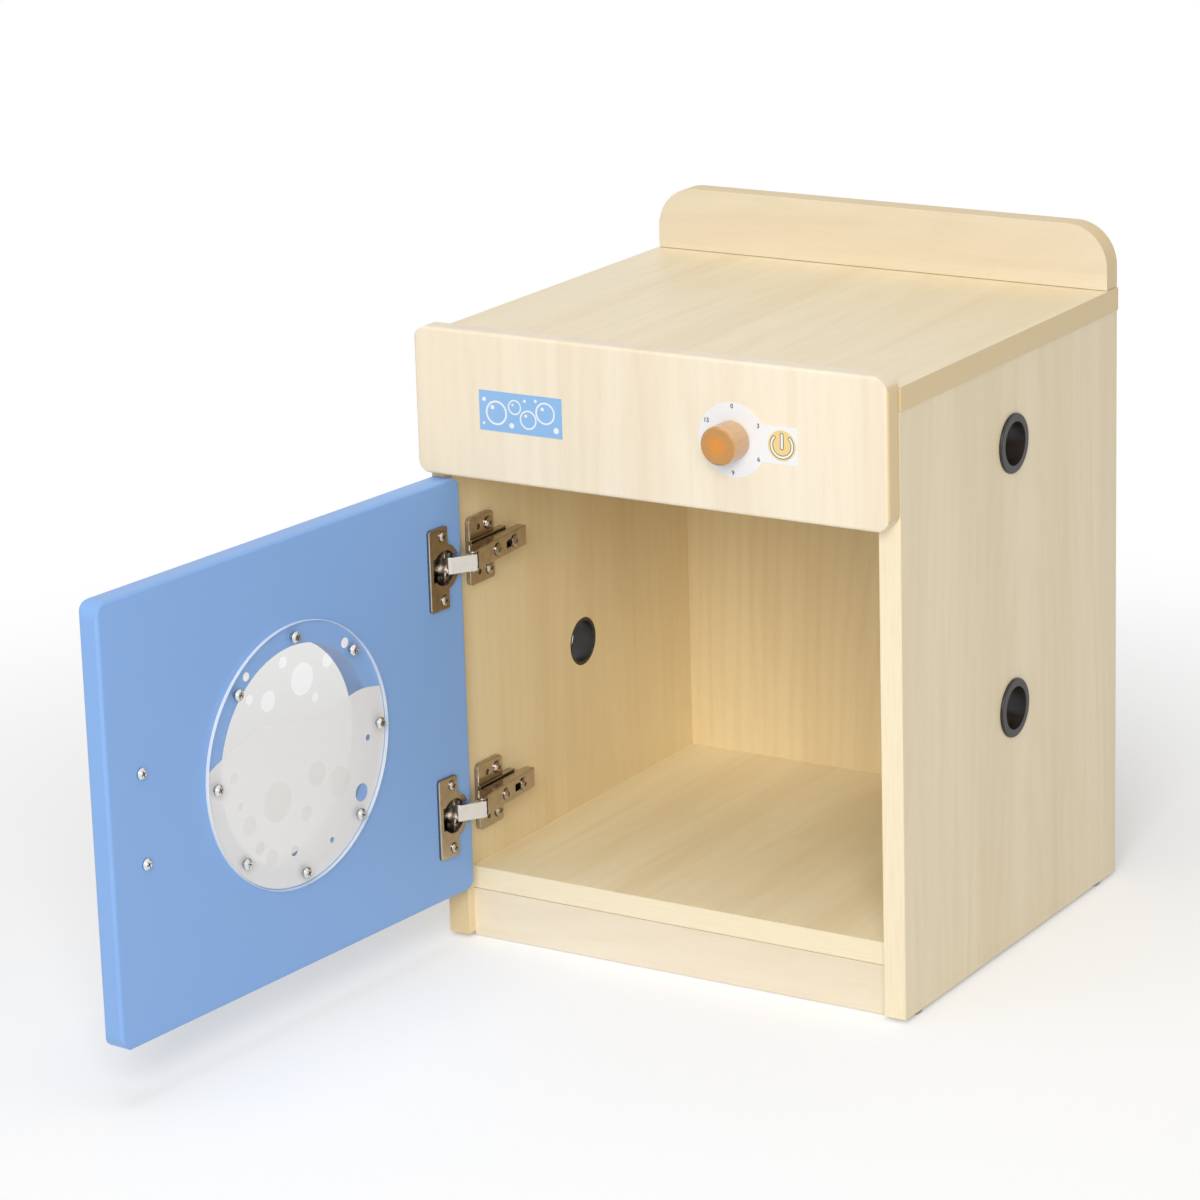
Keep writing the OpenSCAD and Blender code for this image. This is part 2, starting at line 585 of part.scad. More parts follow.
// Goose-necked inner link: it bows over the door's edge when the door is open
module inner_links() color(nickel) on_link(inner_cup, inner_dir) translate([0, 0, -inner_half]) difference() {
    linear_extrude(2 * inner_half) {
        polygon([[-1.7, 0.4], [-1.3, 2.6], [0.6, 4.2], [3.2, 4.9], [8, 4.2], [inner_len + 1.2, 1.75],
            [inner_len + 1.2, -1.4], [inner_len - 3, -0.4], [9, 1.2], [6, 2.6], [3.4, 2.7], [1.7, 1.2],
            [1.2, -0.5]]);
        circle(1.85);
        translate([inner_len, 0]) circle(2.1);
    }
    for (x = [0, inner_len]) translate([x, 0, -1]) cylinder(h = 20, d = pin_d + 2 * slack);
}

left_side_panel();
right_side_panel();
back_panel();
floor_board();
plinth();
worktop();
back_rail();
front_board();
dowels();
hole_rings();
glides();
hinge_plates();
plate_screws();
hinge_arms();
arm_screws();
arm_pins();
drawer_print();
dial_print();
knob();
knob_screw();
knob_washer();
door_panel();
window_pane();
window_screws();
hinge_cups();
cup_screws();
cup_pins();
cup_studs();
door_handle();
handle_screws();
outer_links();
inner_links();
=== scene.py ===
"""Finishes, printed parts and studio for a toy washing machine whose solids come packed."""
import math

import bpy
import numpy as np
from mathutils import Matrix, Vector


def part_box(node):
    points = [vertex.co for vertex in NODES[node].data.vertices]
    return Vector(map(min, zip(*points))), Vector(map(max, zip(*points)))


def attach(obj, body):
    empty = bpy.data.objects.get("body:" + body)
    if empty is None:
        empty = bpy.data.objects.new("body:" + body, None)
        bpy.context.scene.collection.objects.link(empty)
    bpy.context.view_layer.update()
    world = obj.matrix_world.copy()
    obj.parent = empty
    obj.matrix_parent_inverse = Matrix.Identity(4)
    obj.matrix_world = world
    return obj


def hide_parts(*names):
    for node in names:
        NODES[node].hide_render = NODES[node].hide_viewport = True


bl_info = {
    "name": "Toy washing machine",
    "version": (1, 0, 0),
    "blender": (4, 5, 0),
    "location": "View3D > Sidebar > Washing machine",
    "description": "Dresses the packed boards, steel and turned wood, and sets up the studio",
    "category": "Object",
}

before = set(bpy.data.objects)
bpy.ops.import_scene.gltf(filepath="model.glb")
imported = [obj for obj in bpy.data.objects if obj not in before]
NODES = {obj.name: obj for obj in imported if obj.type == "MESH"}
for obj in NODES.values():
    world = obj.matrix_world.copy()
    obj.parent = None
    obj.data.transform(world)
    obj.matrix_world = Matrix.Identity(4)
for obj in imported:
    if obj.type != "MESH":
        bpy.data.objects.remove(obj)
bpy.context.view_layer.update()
MM = 0.001

# Door at rest: the direction from its hinge edge to its free edge, and the way its inner face looks
OPEN = math.radians(-95)
DOOR_U = Vector((math.cos(OPEN), math.sin(OPEN), 0))
DOOR_W = Vector((-math.sin(OPEN), math.cos(OPEN), 0))
# Numbers of the axes
X, Y, Z = 0, 1, 2

RIGHT = Vector((1, 0, 0))
UP = Vector((0, 0, 1))
# Point near the middle of the machine, at which the lamps aim
MIDDLE = Vector((0, 0, 0.22))

# The largest share of a darker colour that each pattern on the boards adds
SHARE = {"bands": 0.26, "soft": 0.19, "streaks": 0.06, "pores": 0.09, "tape": 0.25, "seam": 0.3}


def linear(code):
    """A six digit sRGB hex colour as three linear values."""
    parts = [int(code[i:i + 2], 16) / 255 for i in (0, 2, 4)]
    return tuple(v / 12.92 if v <= 0.04045 else ((v + 0.055) / 1.055) ** 2.4 for v in parts)


def colour(name, description, code):
    return bpy.props.FloatVectorProperty(name=name, description=description, subtype="COLOR",
                                         size=3, min=0, max=1, default=linear(code))


def length(name, description, mm):
    return bpy.props.FloatProperty(name=name, description=description, default=mm * MM,
                                   min=0, subtype="DISTANCE", unit="LENGTH", precision=5)


class BoardFinish(bpy.types.PropertyGroup):
    maple: colour("Maple", "Ground colour of the laminated boards", "F3E4C3")
    # Pale maple is a paler copy of the maple for the boards that face the front: painted light for the sheen
    # the lamps lay on them
    pale: colour("Pale maple", "Ground colour of the front board and the plinth", "F1E4CC")
    # Inside maple is a warmer, deeper copy of the maple: painted light for the warm light bounced about
    # inside the cabinet
    inside: colour("Inside maple", "Ground colour of the boards that line the inside", "F2DFB4")
    bottom: colour("Floor maple", "Ground colour of the floor board", "FCEFCB")
    rail: colour("Rail maple", "Ground colour of the back rail", "E6D9BF")
    streak: colour("Streak", "Darker growth lines of the laminate", "DDC497")
    fleck: colour("Fleck", "Short pores in the laminate", "C2A473")
    edging: colour("Edging", "Tape along the cut edges of the boards", "E3CA9A")
    blue: colour("Blue", "Light blue foil of the door", "85AEE5")
    streak_width: length("Streak width", "Width of one fine growth line", 1.7)
    streak_length: length("Streak length", "Length of one fine growth line", 42)
    soft_width: length("Soft streak width", "Width of one soft streak between the bands", 13)
    soft_length: length("Soft streak length", "Length of one soft streak", 190)
    band_width: length("Band width", "Width of one soft light or dark band", 55)
    band_length: length("Band length", "Length of one such band", 1200)
    pore_width: length("Pore width", "Width of one pore", 0.6)
    pore_length: length("Pore length", "Length of one pore", 9)


class MetalFinish(bpy.types.PropertyGroup):
    nickel: colour("Nickel", "Nickel plate of the hinges", "C4BAAF")
    bright: colour("Bright nickel", "Polished plate of the outer links", "DDD8CF")
    zinc: colour("Zinc", "Zinc plate of the screws", "E0E3E4")
    # Recess and Cup recess set how far painted shade reaches: the metal is painted darker where other
    # surfaces close it in, in recesses, joints and the deep cups
    recess: length("Recess", "Reach of the dark film that sits in recesses and joints", 1.5)
    cup_recess: length("Cup recess", "Reach of the same film in the deep cups", 5)
    worn_edge: length("Worn edge", "Radius of the rounding that shines along each edge", 0.35)


class PlasticFinish(bpy.types.PropertyGroup):
    ring: colour("Ring", "Dark moulding of the hole rings", "231F1D")
    glide: colour("Glide", "Grey moulding of the glides", "8E8E8C")
    pane: colour("Pane", "Clear sheet of the window", "E6ECF4")
    # The rim colour is painted light: the glow of the light that the clear sheet carries to its cut edge
    rim: colour("Rim", "Bright cut rim of the window", "F6F8FA")


class WoodFinish(bpy.types.PropertyGroup):
    beech: colour("Beech", "Turned beech of the handle and the dowels", "D8AE7B")
    beech_line: colour("Beech line", "Darker growth lines of the beech", "B98A57")
    knob_side: colour("Knob side", "Pale turned side of the knob", "D2AA7E")
    knob_face: colour("Knob face", "Stained face of the knob", "BE8A4A")
    knob_heart: colour("Knob heart", "Deeper stain in the middle of that face", "D98A30")


class PrintFinish(bpy.types.PropertyGroup):
    label_blue: colour("Label blue", "Ground of the drawer label", "8EB8E2")
    label_white: colour("Label white", "Ground of the dial label", "EBEBEB")
    ink: colour("Ink", "Dark print on the dial label", "4A4744")
    yellow: colour("Yellow", "Round spot on the dial label", "EBCD88")
    outline: colour("Outline", "Thin line round the power sign", "4E3F2B")
    foam: colour("Foam", "White print on the window", "FCFCFD")
    bubble: colour("Bubble", "Warmer bubbles in the white print", "F6F3EC")
    smoke: colour("Smoke", "Faint grey ground on the back of the window", "8C857A")
    bubble_light: colour("Light bubble", "Bubbles printed on the clear rim", "FBFAF8")
    number_height: length("Number height", "Height of the numbers on the dial", 3.1)
    number_radius: length("Number radius", "Distance of the numbers from the knob's axis", 22.2)
    spot_offset: length("Spot offset", "Distance of the yellow spot from the knob's axis", 36.6)
    spot_radius: length("Spot radius", "Radius of the yellow spot", 10.2)
    sign_radius: length("Sign radius", "Radius of the power sign's bow", 7.7)


class StudioSettings(bpy.types.PropertyGroup):
    floor_size: length("Floor size", "Edge of the pale floor", 40000)
    shadow_reach: length("Shadow reach", "Distance up to which the floor keeps its full shadow", 450)
    white_reach: length("White reach", "Distance from which the floor is plain white", 1150)
    ambient: bpy.props.FloatProperty(name="Ambient", description="Strength of the soft room light",
                                     default=0.36, min=0)
    front: bpy.props.FloatProperty(name="Front", description="Power of the softbox behind the camera",
                                   default=119, min=0, unit="POWER")
    top: bpy.props.FloatProperty(name="Top", description="Power of the softbox overhead", default=17, min=0,
                                 unit="POWER")


def settings(name):
    return getattr(bpy.context.scene, "washing_" + name)


def rgba(value):
    return (*value[:3], 1.0)


def shade(value, share):
    """The same colour at a share of its brightness."""
    return rgba([share * v for v in value])


# Materials

def add(tree, kind, inputs=None, **values):
    """Adds one node, sets its values, and fills its inputs: a socket is linked, anything else is set."""
    node = tree.nodes.new("ShaderNode" + kind)
    for key, value in values.items():
        setattr(node, key, value)
    for key, value in (inputs or {}).items():
        if isinstance(value, bpy.types.NodeSocket):
            tree.links.new(value, node.inputs[key])
        else:
            node.inputs[key].default_value = value
    return node


def start(name):
    """A new material with its shader and the Object coordinates, in metres, of whatever wears it."""
    material = bpy.data.materials.new(name)
    material.use_nodes = True
    tree = material.node_tree
    shader = tree.nodes["Principled BSDF"]
    return material, tree, shader, add(tree, "TexCoord").outputs["Object"]


def stretched(tree, where, sizes, shift=(0, 0, 0), detail=2.0, distortion=0.0):
    """Noise whose blotches measure sizes (x, y, z) in metres; shift is counted in blotches."""
    mapping = add(tree, "Mapping", {"Vector": where, "Location": shift, "Scale": [1 / s for s in sizes]})
    noise = add(tree, "TexNoise", {"Vector": mapping.outputs[0], "Scale": 1.0, "Detail": detail,
                                   "Roughness": 0.55, "Distortion": distortion})
    return noise.outputs["Fac"]


def span(tree, value, low, high, to_low=0.0, to_high=1.0, smooth=False):
    """value, from low to high, mapped from to_low to to_high and held there outside."""
    return add(tree, "MapRange", {"Value": value, "From Min": low, "From Max": high, "To Min": to_low,
                                  "To Max": to_high},
               interpolation_type="SMOOTHSTEP" if smooth else "LINEAR").outputs["Result"]


def maths(tree, operation, first, second=0.0):
    return add(tree, "Math", {0: first, 1: second}, operation=operation).outputs[0]


def blend(tree, factor, first, second):
    return add(tree, "Mix", {0: factor, 6: first, 7: second}, data_type="RGBA").outputs[2]


def bump(tree, shader, height, depth, strength):
    """A bump of the given depth in metres."""
    node = add(tree, "Bump", {"Height": height, "Distance": depth, "Strength": strength})
    tree.links.new(node.outputs[0], shader.inputs["Normal"])


def feed(tree, shader, **sockets):
    """Sets or links inputs of the shader; underscores in the names stand for spaces."""
    for key, value in sockets.items():
        socket = shader.inputs[key.replace("_", " ")]
        if isinstance(value, bpy.types.NodeSocket):
            tree.links.new(value, socket)
        else:
            socket.default_value = value


def wear(material, *nodes):
    """Puts the material on CAD nodes, in place of whatever they came with."""
    for name in nodes:
        slots = NODES[name].material_slots
        if not slots:
            NODES[name].data.materials.append(material)
        for slot in slots:
            slot.material = material


def laminate(name, grain, thin, ground, tape, figure, shift, edge_grain, wrapped=False):
    """Melamine laminate with a printed maple grain: satin, with shallow embossed pores.

    grain is the axis that the growth lines follow, thin the axis through the board, whose own box gives
    the place of the edging tape, and figure how strongly the nested arches of a flat sawn plank show.
    ground and tape are the colours of face and edging, shift gives the board its own stretch of the
    print, and edge_grain is the axis that the lines of the tape follow. A wrapped board is pressed in one
    foil, which runs round its long edges: only its ends are taped.
    """
    look = settings("boards")
    material, tree, shader, where = start(name + " maple laminate")
    low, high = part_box(name)
    # The darker colours stand to the board's own ground as they do to the maple's
    streak, fleck = (rgba([a * b / c for a, b, c in zip(tint, ground, look.maple)])
                     for tint in (look.streak, look.fleck))

    def lines(width, run, along, offset, detail=2.0, distortion=0.0):
        """Streaks of the given width and run; each pattern has its own offset, so no two coincide."""
        sizes = [width] * 3
        sizes[along] = run
        return stretched(tree, where, sizes, (shift + offset,) * 3, detail, distortion)

    def print_over(under, pattern, first, full, share, tint, smooth=True):
        """Lays up to share of tint over a colour, where the pattern goes from first to full."""
        return blend(tree, span(tree, pattern, first, full, 0.0, share, smooth), under, tint)

    bands = lines(look.band_width, look.band_length, grain, 3.1, 1.0)
    streaks = lines(look.streak_width, look.streak_length, grain, 11.7, 3.0, 0.3)
    soft = lines(look.soft_width, look.soft_length, grain, 19.1, 2.0, 0.6)
    pores = lines(look.pore_width, look.pore_length, grain, 29.3, 1.0)
    face = print_over(rgba(ground), bands, 0.36, 0.66, SHARE["bands"], streak)
    face = print_over(face, soft, 0.42, 0.74, SHARE["soft"], streak)
    face = print_over(face, streaks, 0.42, 0.80, SHARE["streaks"], streak)
    face = print_over(face, arches(tree, where, low, high, grain, thin), 0.35, 1.0, figure, streak)
    face = print_over(face, pores, 0.60, 0.74, SHARE["pores"], fleck, False)

    # The tape shows wherever the point lies inside the board's thickness, or at a wrapped board's ends
    axis = X if wrapped else thin
    part = add(tree, "SeparateXYZ", {0: where}).outputs[axis]
    middle, half = (low[axis] + high[axis]) / 2, (high[axis] - low[axis]) / 2
    depth = maths(tree, "ABSOLUTE", maths(tree, "SUBTRACT", part, middle))
    if wrapped:
        taped = span(tree, depth, half - 1.6 * MM, half - 0.6 * MM)
    else:
        taped = span(tree, depth, half - 0.25 * MM, half - 0.15 * MM, 1.0, 0.0)
    tape_lines = lines(1.1 * MM, 30 * MM, edge_grain, 47.0)
    face = blend(tree, taped, face, print_over(rgba(tape), tape_lines, 0.42, 0.75, SHARE["tape"], streak))
    if not wrapped:
        # A hairline of glue darkens the corner where the tape meets the face
        near_face = span(tree, depth, half - 0.7 * MM, half - 0.3 * MM, 0.0, SHARE["seam"])
        face = blend(tree, maths(tree, "MULTIPLY", taped, near_face), face, fleck)

    feed(tree, shader, Base_Color=face, Roughness=span(tree, streaks, 0.3, 0.7, 0.34, 0.42))
    # Pores are pressed in by 0.8 of the relief's depth, and the fine growth lines by 0.3
    pressed = maths(tree, "ADD", maths(tree, "MULTIPLY", span(tree, pores, 0.60, 0.72), 0.8),
                    maths(tree, "MULTIPLY", streaks, 0.3))
    bump(tree, shader, maths(tree, "SUBTRACT", 1.0, pressed), 0.02 * MM, 0.3)
    return material


def arches(tree, where, low, high, grain, thin):
    """The nested arches of a flat sawn plank: rings about a point beyond one end of the board.

    The rings are about 11 mm apart across the board and drawn out seven times along the grain. Their
    middle lies 21 mm beside the board's and 100 mm beyond its lower, front or left end, and they run
    unchanged through its thickness.
    """
    across = 3 - grain - thin
    sizes, place = [1.0] * 3, [0.0] * 3
    sizes[across], sizes[grain], sizes[thin] = 0.11, 0.8, 1e3
    place[across] = -((low[across] + high[across]) / 2 + 21 * MM) / sizes[across]
    place[grain] = -(low[grain] - 100 * MM) / sizes[grain]
    mapping = add(tree, "Mapping", {"Vector": where, "Location": place, "Scale": [1 / s for s in sizes]})
    rings = add(tree, "TexWave", {"Vector": mapping.outputs[0], "Scale": 3.2, "Distortion": 4.5,
                                  "Detail": 2.5, "Detail Scale": 1.0, "Detail Roughness": 0.6},
                wave_type="RINGS", rings_direction="SPHERICAL")
    return rings.outputs["Fac"]


def plain_laminate(name, face):
    """Plain coloured laminate: satin, with the faint orange peel of a pressed sheet."""
    material, tree, shader, where = start(name)
    cloud = stretched(tree, where, (90 * MM,) * 3, (4, 7, 2))
    peel = stretched(tree, where, (1.4 * MM,) * 3)
    feed(tree, shader,
         Base_Color=blend(tree, span(tree, cloud, 0.35, 0.65, 0.0, 0.10), rgba(face), shade(face, 0.9)),
         Roughness=span(tree, peel, 0.3, 0.7, 0.36, 0.42))
    bump(tree, shader, peel, 0.02 * MM, 0.5)
    return material


def plated(name, face, sizes, roughness, dull=0.86, recess=None):
    """Plated pressed steel: a bright metal with faint drawing marks of the given sizes.

    Pressed sheet has slightly rounded edges, which catch a thin line of light, and its recesses and
    joints are darkened with painted shade, where an occlusion test finds them closed in. recess says
    how far that painted shade reaches, where it isn't the usual reach.
    """
    material, tree, shader, where = start(name)
    marks = stretched(tree, where, sizes, (1, 5, 9))
    stain = stretched(tree, where, (7 * MM,) * 3, (8, 3, 6), 1.0)
    look = settings("metal")
    # Painted shade: an occlusion test finds where the metal is closed in, and there its colour falls to 0.16
    # of its own
    unshaded = add(tree, "AmbientOcclusion", {"Distance": recess or look.recess}, samples=6).outputs["AO"]
    plate = blend(tree, span(tree, stain, 0.4, 0.75, 0.0, 1.0, True), rgba(face), shade(face, dull))
    feed(tree, shader, Metallic=1.0,
         Base_Color=blend(tree, span(tree, unshaded, 0.4, 0.95, 0.0, 1.0, True), shade(face, 0.16), plate),
         Roughness=span(tree, marks, 0.3, 0.7, roughness - 0.03, roughness + 0.04))
    edge = add(tree, "Bevel", {"Radius": look.worn_edge}, samples=4)
    node = add(tree, "Bump", {"Height": marks, "Distance": 0.005 * MM, "Strength": 0.4,
                              "Normal": edge.outputs[0]})
    tree.links.new(node.outputs[0], shader.inputs["Normal"])
    return material


def moulded(name, face, roughness, grit):
    """Injection moulded plastic with a fine spark eroded texture."""
    material, tree, shader, where = start(name)
    texture = stretched(tree, where, (grit,) * 3)
    feed(tree, shader,
         Base_Color=blend(tree, span(tree, texture, 0.35, 0.7, 0.0, 0.35), rgba(face), shade(face, 1.6)),
         Roughness=span(tree, texture, 0.3, 0.7, roughness - 0.04, roughness + 0.06), IOR=1.5)
    bump(tree, shader, texture, 0.03 * MM, 0.4)
    return material


def printed(name, face, roughness=0.36, cover=1.0):
    """Ink on vinyl or acrylic: an even colour with the faintest mottle, under a satin film.

    cover is the share of the light behind it that the ink stops.
    """
    material, tree, shader, where = start(name)
    mottle = stretched(tree, where, (0.7 * MM,) * 3)
    feed(tree, shader,
         Base_Color=blend(tree, span(tree, mottle, 0.3, 0.7, 0.0, 0.06), rgba(face), shade(face, 0.82)),
         Roughness=roughness, IOR=1.5, Alpha=cover)
    bump(tree, shader, mottle, 0.004 * MM, 0.4)
    return material


def turned_beech(name, grain):
    """Sanded and oiled beech: fine lines along the grain and short darker ray flecks."""
    look = settings("wood")
    material, tree, shader, where = start(name)
    sizes, flecks = [1.1 * MM] * 3, [0.45 * MM] * 3
    sizes[grain], flecks[grain] = 26 * MM, 2.6 * MM
    lines = stretched(tree, where, sizes, (3, 1, 4), 3.0, 0.4)
    rays = stretched(tree, where, flecks, (6, 2, 8), 1.0)
    ground = blend(tree, span(tree, lines, 0.35, 0.75, 0.0, 0.65, True), rgba(look.beech),
                   rgba(look.beech_line))
    ground = blend(tree, span(tree, rays, 0.60, 0.72, 0.0, 0.5), ground,
                   shade(look.beech_line, 0.62))
    feed(tree, shader, Base_Color=ground, Roughness=span(tree, lines, 0.3, 0.7, 0.42, 0.52))
    bump(tree, shader, maths(tree, "SUBTRACT", 1.0, rays), 0.03 * MM, 0.5)
    return material


# Shapes

def circle(radius, centre=(0.0, 0.0), count=64):
    """Points of a circle: centre plus radius times (cos t, sin t), t evenly spaced."""
    t = np.linspace(0, 2 * math.pi, count, endpoint=False)
    return np.stack([centre[0] + radius * np.cos(t), centre[1] + radius * np.sin(t)], 1)


def bubbles(rows, count=48):
    """Circles from rows of u, v and radius in millimetres."""
    return [circle(r * MM, (u * MM, v * MM), count) for u, v, r in rows]


def bow(radius, half_width, gap, count=48):
    """Outline of a round ended arc, open at the top by gap radians on each side of the vertical.

    The outer edge runs at radius plus half_width, each end is a half circle of half_width about the
    arc's own end, and the inner edge comes back at radius minus half_width.
    """
    t = math.pi / 2 + np.linspace(gap, 2 * math.pi - gap, count)
    outer = (radius + half_width) * np.stack([np.cos(t), np.sin(t)], 1)
    inner = (radius - half_width) * np.stack([np.cos(t[::-1]), np.sin(t[::-1])], 1)
    cap = np.linspace(0, math.pi, 12)[1:-1]
    ends = []
    for at, turn in ((t[-1], 0), (t[0], math.pi)):
        centre = radius * np.array([math.cos(at), math.sin(at)])
        angle = at + turn + cap
        ends.append(centre + half_width * np.stack([np.cos(angle), np.sin(angle)], 1))
    return np.concatenate([outer, ends[0], inner, ends[1]])


def bar(half_width, low, high, count=12):
    """Outline of an upright round ended bar between the heights low and high.

    It has a half circle of half_width about (0, high - half_width) and one about (0, low + half_width).
    """
    t = np.linspace(0, math.pi, count)
    half_circle = half_width * np.stack([np.cos(t), np.sin(t)], 1)
    return np.concatenate([half_circle + (0, high - half_width), (0, low + half_width) - half_circle])


def flat_piece(name, outlines, thickness, place, material, body):
    """A thin printed layer from closed outlines; an outline inside another is a hole in it.

    The layer reaches half the thickness to either side of its plane, and place is the matrix that
    carries that plane, drawn in x and y, into the row frame.
    """
    curve = bpy.data.curves.new(name, "CURVE")
    curve.dimensions = "2D"
    curve.fill_mode = "BOTH"
    curve.extrude = thickness / 2
    for outline in outlines:
        spline = curve.splines.new("POLY")
        spline.points.add(len(outline) - 1)
        points = np.zeros((len(outline), 4), np.float32)
        points[:, :2] = outline
        points[:, 3] = 1
        spline.points.foreach_set("co", points.ravel())
        spline.use_cyclic_u = True
    settle(curve, name, place, material, body)


def settle(curve, name, place, material, body):
    """Turns a flat curve or text into a mesh with its place in its points, and mounts it on a body."""
    sketch = bpy.data.objects.new(name + "_sketch", curve)
    bpy.context.collection.objects.link(sketch)
    bpy.context.view_layer.update()
    mesh = bpy.data.meshes.new_from_object(sketch.evaluated_get(bpy.context.evaluated_depsgraph_get()))
    mesh.name = name
    bpy.data.objects.remove(sketch)
    bpy.data.curves.remove(curve)
    mesh.transform(place)
    mesh.materials.clear()
    mesh.materials.append(material)
    piece = bpy.data.objects.new(name, mesh)
    bpy.context.collection.objects.link(piece)
    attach(piece, body)


def plane(origin, right, up):
    """Matrix from a drawing plane to the row frame: x along right, y along up, z towards the reader."""
    ahead = right.cross(up)
    matrix = Matrix((right, up, ahead)).transposed().to_4x4()
    matrix.translation = origin
    return matrix


# Operators

class WASHING_OT_boards(bpy.types.Operator):
    """Gives each board of the carcass its maple laminate and its edging"""
    bl_idname = "washing.boards"
    bl_label = "Finish the boards"

    def execute(self, context):
        look = settings("boards")
        # Painted light in the grounds and tapes: the front board and plinth wear the pale maple, painted
        # sheen for faces that face the lamps; the boards lining the inside wear the inside maple, painted
        # warm bounced light; the left panel's front edge wears the darker edging, painted shade for the
        # door's shadow on it, and the right panel's front edge wears the maple, painted light for the front
        # light on it
        for name, grain, thin, ground, tape, figure, shift, edge in (
                ("left_side_panel", Z, X, look.inside, look.edging, 0.06, 1.0, Z),
                ("right_side_panel", Z, X, look.maple, look.maple, 0.06, 7.0, Z),
                ("back_panel", Z, Y, look.inside, look.inside, 0.15, 15.0, Z),
                ("floor_board", Y, Z, look.bottom, look.maple, 0.06, 21.0, X),
                ("plinth", X, Y, look.pale, look.maple, 0.07, 33.0, X),
                ("worktop", Y, Z, look.maple, look.edging, 0.06, 41.0, Y),
                ("back_rail", X, Y, look.rail, look.edging, 0.06, 53.0, X)):
            wear(laminate(name, grain, thin, ground, tape, figure, shift, edge), name)
        wear(laminate("front_board", Z, Y, look.pale, look.edging, 0.06, 61.0, Z, True), "front_board")
        return {"FINISHED"}


class WASHING_OT_door(bpy.types.Operator):
    """Gives the door its light blue laminate"""
    bl_idname = "washing.door"
    bl_label = "Finish the door"

    def execute(self, context):
        wear(plain_laminate("light blue laminate", settings("boards").blue), "door_panel")
        return {"FINISHED"}


class WASHING_OT_hinges(bpy.types.Operator):
    """Plates the hinges and every screw"""
    bl_idname = "washing.hinges"
    bl_label = "Finish the hinges and screws"

    def execute(self, context):
        look = settings("metal")
        # Pressed parts keep faint rolling marks about 1 mm apart along the strip
        rolled = (8 * MM, 8 * MM, 0.9 * MM)
        wear(plated("nickel plated pressed steel", look.nickel, rolled, 0.2),
             "hinge_plates", "hinge_arms", "plate_screws", "arm_screws", "cup_screws")
        # The drawn cups take a longer reach of painted shade, which paints their insides dark
        wear(plated("nickel plated drawn cups", look.nickel, rolled, 0.24, recess=look.cup_recess),
             "hinge_cups", "inner_links")
        wear(plated("nickel plated pins", look.nickel, (1 * MM,) * 3, 0.2),
             "arm_pins", "cup_pins", "cup_studs")
        # The outer link is polished along its length, which leaves lines 0.5 mm apart
        polished = (30 * MM, 30 * MM, 0.5 * MM)
        wear(plated("bright nickel steel", look.bright, polished, 0.3, 0.95), "outer_links")
        # Small screws are plated loose in a barrel, which leaves a faint even grain
        wear(plated("zinc plated steel", look.zinc, (0.7 * MM,) * 3, 0.2, 0.8), "window_screws",
             "handle_screws", "knob_screw", "knob_washer")
        return {"FINISHED"}


class WASHING_OT_mouldings(bpy.types.Operator):
    """Gives the hole rings and the glides their moulded plastic"""
    bl_idname = "washing.mouldings"
    bl_label = "Finish the mouldings"

    def execute(self, context):
        look = settings("plastic")
        wear(moulded("dark moulded plastic", look.ring, 0.34, 0.5 * MM), "hole_rings")
        wear(moulded("grey moulded plastic", look.glide, 0.5, 0.6 * MM), "glides")
        return {"FINISHED"}


class WASHING_OT_turnings(bpy.types.Operator):
    """Gives the knob, the handle and the dowels their turned wood"""
    bl_idname = "washing.turnings"
    bl_label = "Finish the turned wood"

    def execute(self, context):
        wear(turned_beech("oiled beech", Z), "door_handle", "dowels")
        wear(self.knob_wood(), "knob")
        return {"FINISHED"}

    def knob_wood(self):
        """Turned hardwood, stained on its face only: the end grain there drinks more in the middle."""
        look = settings("wood")
        material, tree, shader, where = start("turned wood with a stained face")
        low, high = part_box("knob")
        middle = (low + high) / 2
        on_axis = add(tree, "Mapping", {"Vector": where, "Location": (-middle.x, 0, -middle.z)}).outputs[0]
        flat = add(tree, "Mapping", {"Vector": on_axis, "Scale": (1, 0, 1)}).outputs[0]
        radius = add(tree, "VectorMath", {0: flat}, operation="LENGTH").outputs["Value"]
        # The growth lines run along the knob, 1.3 mm apart, and end as specks on its face
        lines = stretched(tree, where, (1.3 * MM, 30 * MM, 1.3 * MM), (5, 2, 7), 3.0, 0.3)
        side = blend(tree, span(tree, lines, 0.35, 0.75, 0.0, 0.5, True), rgba(look.knob_side),
                     shade(look.knob_side, 0.8))
        # The border of the deeper stain wanders with the growth lines
        wander = maths(tree, "ADD", radius, maths(tree, "MULTIPLY", maths(tree, "SUBTRACT", lines, 0.5),
                                                  1.2 * MM))
        heart = span(tree, wander, 3.5 * MM, 9.4 * MM, 1.0, 0.0, True)
        face = blend(tree, heart, rgba(look.knob_face), rgba(look.knob_heart))
        face = blend(tree, span(tree, lines, 0.45, 0.75, 0.0, 0.35, True), face,
                     shade(look.knob_face, 0.78))
        # The stain ends in the rounding of the front edge
        along = add(tree, "SeparateXYZ", {0: where}).outputs[Y]
        on_face = span(tree, along, low.y + 0.9 * MM, low.y + 1.5 * MM, 1.0, 0.0)
        feed(tree, shader, Base_Color=blend(tree, on_face, side, face),
             Roughness=span(tree, lines, 0.3, 0.7, 0.3, 0.4), Coat_Weight=0.25, Coat_Roughness=0.2)
        bump(tree, shader, lines, 0.02 * MM, 0.5)
        return material


